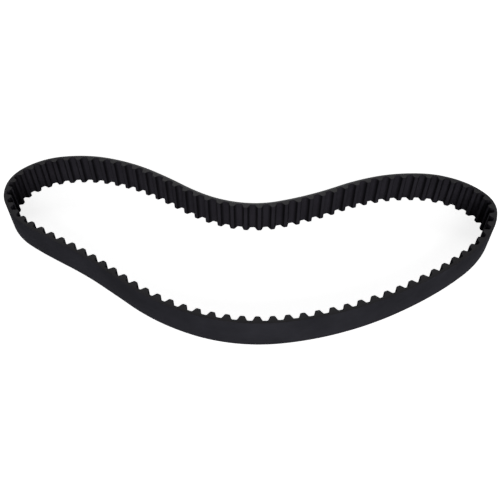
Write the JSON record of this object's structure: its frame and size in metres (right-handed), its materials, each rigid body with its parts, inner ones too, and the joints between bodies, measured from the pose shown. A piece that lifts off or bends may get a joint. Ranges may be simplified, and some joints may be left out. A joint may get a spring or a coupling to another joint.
{
  "type": "timing belt",
  "caption": "Endless toothed rubber timing belt standing on its edge in a relaxed kidney-shaped loop: rounded trapezoidal teeth on the inner side, smooth back outside.",
  "frame": {"origin": "middle of the loop's bounding box, on the plane of the cut edge that the belt stands on", "axes": "+X along the loop's length, towards the blunter lobe; +Y from the bulging run to the dented run; +Z across the belt's width, upwards"},
  "size_m": [0.3572, 0.1586, 0.023],
  "materials": {
    "rubber": "matt black rubber",
    "facing": "matt woven nylon facing",
    "cord": "twisted glass-fibre cord"
  },
  "bodies": {
    "front_left": {"front_left_backing": "rubber", "front_left_teeth": "rubber", "front_left_cords": "cord", "front_left_facing": "facing"},
    "front_middle": {"front_middle_backing": "rubber", "front_middle_teeth": "rubber", "front_middle_cords": "cord", "front_middle_facing": "facing"},
    "front_right": {"front_right_backing": "rubber", "front_right_teeth": "rubber", "front_right_cords": "cord", "front_right_facing": "facing"},
    "right_lower": {"right_lower_backing": "rubber", "right_lower_teeth": "rubber", "right_lower_cords": "cord", "right_lower_facing": "facing"},
    "right_end": {"right_end_backing": "rubber", "right_end_teeth": "rubber", "right_end_cords": "cord", "right_end_facing": "facing"},
    "right_upper": {"right_upper_backing": "rubber", "right_upper_teeth": "rubber", "right_upper_cords": "cord", "right_upper_facing": "facing"},
    "back_right": {"back_right_backing": "rubber", "back_right_teeth": "rubber", "back_right_cords": "cord", "back_right_facing": "facing"},
    "dent_right": {"dent_right_backing": "rubber", "dent_right_teeth": "rubber", "dent_right_cords": "cord", "dent_right_facing": "facing"},
    "dent_left": {"dent_left_backing": "rubber", "dent_left_teeth": "rubber", "dent_left_cords": "cord", "dent_left_facing": "facing"},
    "back_left": {"back_left_backing": "rubber", "back_left_teeth": "rubber", "back_left_cords": "cord", "back_left_facing": "facing"},
    "left_upper": {"left_upper_backing": "rubber", "left_upper_teeth": "rubber", "left_upper_cords": "cord", "left_upper_facing": "facing"},
    "left_end": {"left_end_backing": "rubber", "left_end_teeth": "rubber", "left_end_cords": "cord", "left_end_facing": "facing"},
    "left_lower": {"left_lower_backing": "rubber", "left_lower_teeth": "rubber", "left_lower_cords": "cord", "left_lower_facing": "facing"}
  },
  "joints": [
    {"name": "left_swing", "type": "hinge", "parent": "front_middle", "child": "front_left", "pos_m": [-0.09914, -0.0302, 0.0115], "axis": [0, 0, 1], "range_deg": [-15, 15], "stiffness_Nm_per_rad": 0.02},
    {"name": "left_lower_flex", "type": "hinge", "parent": "front_left", "child": "left_lower", "pos_m": [-0.13924, -0.00455, 0.0115], "axis": [0, 0, 1], "range_deg": [-15, 15], "stiffness_Nm_per_rad": 0.02},
    {"name": "left_end_flex", "type": "hinge", "parent": "left_lower", "child": "left_end", "pos_m": [-0.17347, 0.02749, 0.0115], "axis": [0, 0, 1], "range_deg": [-15, 15], "stiffness_Nm_per_rad": 0.02},
    {"name": "left_upper_flex", "type": "hinge", "parent": "left_end", "child": "left_upper", "pos_m": [-0.16978, 0.06309, 0.0115], "axis": [0, 0, 1], "range_deg": [-15, 15], "stiffness_Nm_per_rad": 0.02},
    {"name": "back_left_flex", "type": "hinge", "parent": "left_upper", "child": "back_left", "pos_m": [-0.07228, 0.06053, 0.0115], "axis": [0, 0, 1], "range_deg": [-15, 15], "stiffness_Nm_per_rad": 0.02},
    {"name": "dent_left_flex", "type": "hinge", "parent": "back_left", "child": "dent_left", "pos_m": [-0.03218, 0.03488, 0.0115], "axis": [0, 0, 1], "range_deg": [-15, 15], "stiffness_Nm_per_rad": 0.02},
    {"name": "right_swing", "type": "hinge", "parent": "front_middle", "child": "front_right", "pos_m": [0.04949, -0.07208, 0.0115], "axis": [0, 0, 1], "range_deg": [-15, 15], "stiffness_Nm_per_rad": 0.02},
    {"name": "right_lower_flex", "type": "hinge", "parent": "front_right", "child": "right_lower", "pos_m": [0.09414, -0.05574, 0.0115], "axis": [0, 0, 1], "range_deg": [-15, 15], "stiffness_Nm_per_rad": 0.02},
    {"name": "back_sway", "type": "hinge", "parent": "right_lower", "child": "right_end", "pos_m": [0.16938, 0.00099, 0.0115], "axis": [0, 0, 1], "range_deg": [-15, 15], "stiffness_Nm_per_rad": 0.02},
    {"name": "right_upper_flex", "type": "hinge", "parent": "right_end", "child": "right_upper", "pos_m": [0.17308, 0.03659, 0.0115], "axis": [0, 0, 1], "range_deg": [-15, 15], "stiffness_Nm_per_rad": 0.02},
    {"name": "back_right_flex", "type": "hinge", "parent": "right_upper", "child": "back_right", "pos_m": [0.06777, 0.04342, 0.0115], "axis": [0, 0, 1], "range_deg": [-15, 15], "stiffness_Nm_per_rad": 0.02},
    {"name": "dent_right_flex", "type": "hinge", "parent": "back_right", "child": "dent_right", "pos_m": [0.02312, 0.02708, 0.0115], "axis": [0, 0, 1], "range_deg": [-15, 15], "stiffness_Nm_per_rad": 0.02}
  ],
  "couplings": [
    {"joint": "left_lower_flex", "follows": "left_swing", "ratio": -1},
    {"joint": "back_left_flex", "follows": "left_swing", "ratio": 1},
    {"joint": "dent_left_flex", "follows": "left_swing", "ratio": -1},
    {"joint": "right_lower_flex", "follows": "right_swing", "ratio": -1},
    {"joint": "back_right_flex", "follows": "right_swing", "ratio": 1},
    {"joint": "dent_right_flex", "follows": "right_swing", "ratio": -1},
    {"joint": "left_end_flex", "follows": "back_sway", "ratio": 1},
    {"joint": "right_upper_flex", "follows": "back_sway", "ratio": -1},
    {"joint": "left_upper_flex", "follows": "back_sway", "ratio": -1}
  ]
}
